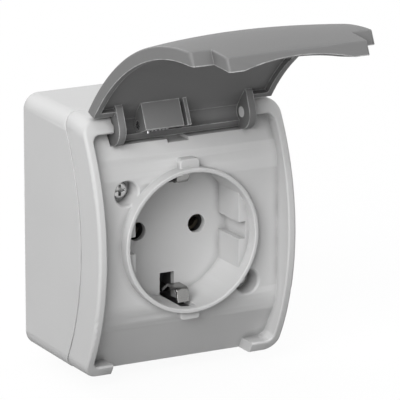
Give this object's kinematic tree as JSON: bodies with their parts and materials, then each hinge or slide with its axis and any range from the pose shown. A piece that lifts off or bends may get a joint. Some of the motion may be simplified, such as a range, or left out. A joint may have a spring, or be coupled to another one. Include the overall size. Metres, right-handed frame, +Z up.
{
  "type": "outdoor weatherproof socket",
  "caption": "Light grey outdoor wall socket with a bowed housing, a round plug recess with sprung earth clips and an arched hinged lid that stands open.",
  "frame": {"origin": "centre of the flat rear face, on the wall", "axes": "+X right seen from the front, -Y forward away from the wall, +Z up"},
  "size_m": [0.063, 0.1048, 0.1082],
  "materials": {
    "housing_plastic": "fine matt moulded",
    "lid_plastic": "satin moulded",
    "seal_rubber": "matt",
    "carrier_plastic": "matt moulded",
    "contact_brass": "stamped",
    "earth_nickel": "nickel plated",
    "spring_steel": "drawn wire",
    "screw_steel": "zinc plated"
  },
  "bodies": {
    "housing": {"rear_box": "housing_plastic", "front_cover": "housing_plastic", "cover_gasket": "seal_rubber", "cable_grommet": "seal_rubber", "contact_carrier": "carrier_plastic", "carrier_screws": "screw_steel", "cover_screws": "screw_steel", "terminal_screws": "screw_steel", "line_contact": "contact_brass", "neutral_contact": "contact_brass", "line_clamp": "contact_brass", "neutral_clamp": "contact_brass", "earth_clamp": "contact_brass", "earth_strap": "earth_nickel"},
    "lid_body": {"lid": "lid_plastic", "spring_pin": "spring_steel", "lid_spring": "spring_steel"}
  },
  "joints": [
    {"name": "lid_hinge", "type": "hinge", "parent": "housing", "child": "lid_body", "pos_m": [0, -0.03617, 0.0341], "axis": [1, 0, 0], "range_deg": [0, 115]}
  ]
}
